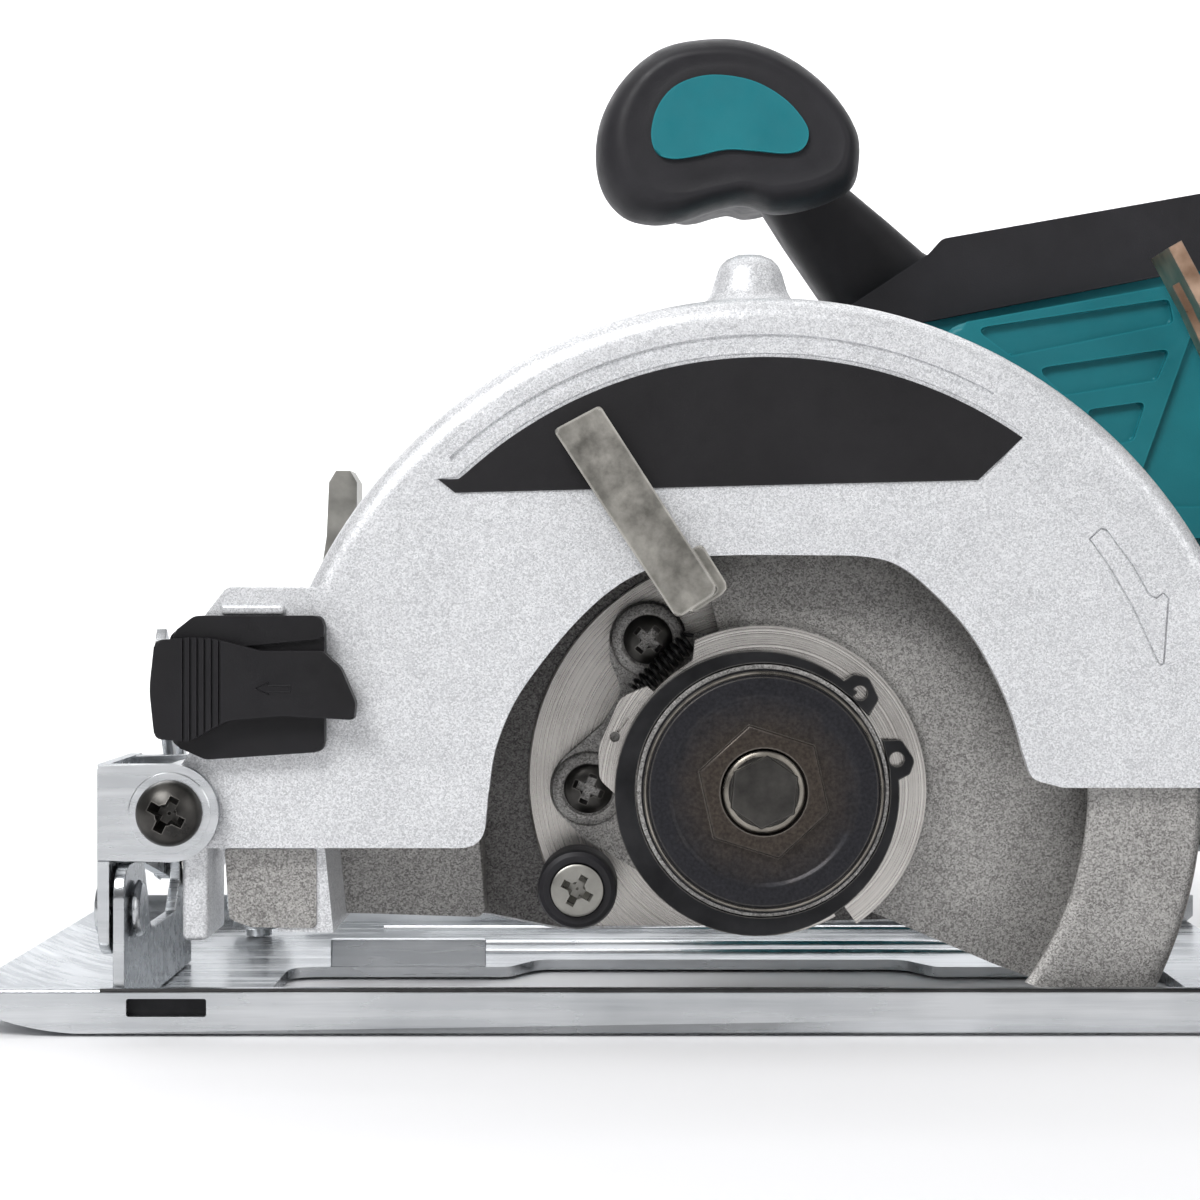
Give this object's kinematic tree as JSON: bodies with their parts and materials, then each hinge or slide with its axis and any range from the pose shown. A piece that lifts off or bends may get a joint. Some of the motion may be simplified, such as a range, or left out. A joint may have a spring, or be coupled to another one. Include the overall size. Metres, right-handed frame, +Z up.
{
  "type": "circular saw",
  "caption": "Cordless circular saw with a silver blade case, sprung lower guard, tilting base, depth strip, D-handle, front grip and slide-on battery. No blade fitted.",
  "frame": {"origin": "on the base's underside, straight below the spindle axis at rest, in the middle plane of the handle", "axes": "+X to the battery and the rear of the cut, -X to the toe of the base; -Y to the blade side, +Y to the motor; +Z up, the base underside at Z = 0"},
  "size_m": [0.3506, 0.1522, 0.1967],
  "materials": {
    "sparkle": "fine silver sparkle paint on a die casting",
    "cast": "bare die casting, dull grey and speckled",
    "zinc": "bright zinc plated pressed steel",
    "steel": "machined steel",
    "black_steel": "blackened steel",
    "flange": "turned steel with black oxide",
    "plastic": "black moulded plastic",
    "rubber": "matt black overmoulding",
    "teal": "teal moulded plastic, fine grain",
    "copper": "steel strip with a copper-tinted finish",
    "board": "potted circuit board"
  },
  "bodies": {
    "base": {"base_plate": "zinc", "front_bevel_plate": "zinc", "rear_bevel_plate": "zinc", "front_bevel_rivet": "zinc", "rear_bevel_rivet": "zinc"},
    "fence_screw": {"fence_screw": "zinc"},
    "bevel_frame": {"front_bracket": "zinc", "depth_pivot_screw": "black_steel", "depth_pivot_nut": "zinc", "bevel_clamp_bolt": "zinc", "depth_guide": "copper"},
    "bevel_lever": {"bevel_lever": "zinc"},
    "saw_body": {"depth_clamp_bolt": "zinc", "blade_case": "sparkle", "label_panel": "plastic", "front_housing": "plastic", "bearing_box": "cast", "box_screw_upper": "black_steel", "box_screw_lower": "black_steel", "box_screw_rear": "black_steel", "box_screw_bottom": "black_steel", "guard_bumper": "rubber", "bumper_screw": "steel", "circlip": "black_steel", "return_spring": "black_steel", "spindle_front_bearing": "steel", "spindle_rear_bearing": "steel", "motor_front_bearing": "steel", "motor_rear_bearing": "steel", "gear_housing": "cast", "motor_housing": "teal", "stator": "steel", "motor_end_cap": "plastic", "handle_left": "teal", "handle_right": "teal", "handle_overmould": "rubber", "front_grip": "rubber", "grip_inset_left": "teal", "grip_inset_right": "teal", "switch_unit": "plastic", "motor_controller": "board", "terminal_block": "plastic"},
    "depth_lever": {"depth_lever": "plastic"},
    "lower_guard": {"lower_guard": "cast", "guard_hub_ring": "steel", "guard_lever": "cast"},
    "spindle": {"spindle": "steel", "inner_flange": "flange", "outer_flange": "flange", "blade_bolt": "black_steel", "drive_gear": "steel"},
    "motor": {"armature": "steel", "cooling_fan": "plastic"},
    "front_slider": {"front_slider": "plastic"},
    "trigger": {"trigger": "plastic"},
    "lock_off_button": {"lock_off_button": "plastic"},
    "shaft_lock_button": {"shaft_lock_button": "plastic"},
    "battery": {"battery_case": "plastic", "battery_cells": "teal"},
    "battery_latch": {"battery_latch": "teal"}
  },
  "joints": [
    {"name": "fence_screw_turn", "type": "hinge", "parent": "base", "child": "fence_screw", "pos_m": [-0.113, 0.03, 0], "axis": [0, 0, 1], "range_deg": [0, 180]},
    {"name": "bevel", "type": "hinge", "parent": "base", "child": "bevel_frame", "pos_m": [0, -0.077, 0.022], "axis": [1, 0, 0], "range_deg": [0, 45]},
    {"name": "bevel_clamp", "type": "hinge", "parent": "bevel_frame", "child": "bevel_lever", "pos_m": [-0.1186, -0.02022, 0.02697], "axis": [-1, 0, 0], "range_deg": [0, 50]},
    {"name": "cutting_depth", "type": "hinge", "parent": "bevel_frame", "child": "saw_body", "pos_m": [-0.1128, 0, 0.0414], "axis": [0, -1, 0], "range_deg": [-6, 24]},
    {"name": "depth_clamp", "type": "hinge", "parent": "saw_body", "child": "depth_lever", "pos_m": [0.1132, -0.049, 0.0414], "axis": [-1, 0, 0], "range_deg": [0, 40]},
    {"name": "guard_swing", "type": "hinge", "parent": "saw_body", "child": "lower_guard", "pos_m": [0, 0, 0.045], "axis": [0, -1, 0], "range_deg": [-95, 20], "stiffness_Nm_per_rad": 0.06, "springref_deg": -108.86, "deforming": ["return_spring"]},
    {"name": "spindle_turn", "type": "hinge", "parent": "saw_body", "child": "spindle", "pos_m": [0, 0, 0.045], "axis": [0, 1, 0], "continuous": true},
    {"name": "motor_turn", "type": "hinge", "parent": "saw_body", "child": "motor", "pos_m": [0.02, 0, 0.075], "axis": [0, 1, 0], "continuous": true},
    {"name": "slider_travel", "type": "slide", "parent": "saw_body", "child": "front_slider", "axis": [-1, 0, 0], "range_m": [0, 0.006]},
    {"name": "trigger_press", "type": "slide", "parent": "saw_body", "child": "trigger", "axis": [0, 0, 1], "range_m": [0, 0.006], "stiffness_N_per_m": 600, "springref_m": -0.003},
    {"name": "lock_off_press", "type": "slide", "parent": "saw_body", "child": "lock_off_button", "axis": [0, 1, 0], "range_m": [-0.003, 0.003], "stiffness_N_per_m": 400},
    {"name": "shaft_lock_press", "type": "slide", "parent": "saw_body", "child": "shaft_lock_button", "axis": [1, 0, 0], "range_m": [0, 0.003], "stiffness_N_per_m": 800, "springref_m": -0.003},
    {"name": "battery_slide", "type": "slide", "parent": "saw_body", "child": "battery", "axis": [1, 0, 0], "range_m": [0, 0.06]},
    {"name": "battery_release", "type": "slide", "parent": "battery", "child": "battery_latch", "axis": [0, 0, 1], "range_m": [0, 0.005], "stiffness_N_per_m": 400, "springref_m": -0.002}
  ],
  "couplings": [
    {"joint": "motor_turn", "follows": "spindle_turn", "ratio": -3.8}
  ]
}
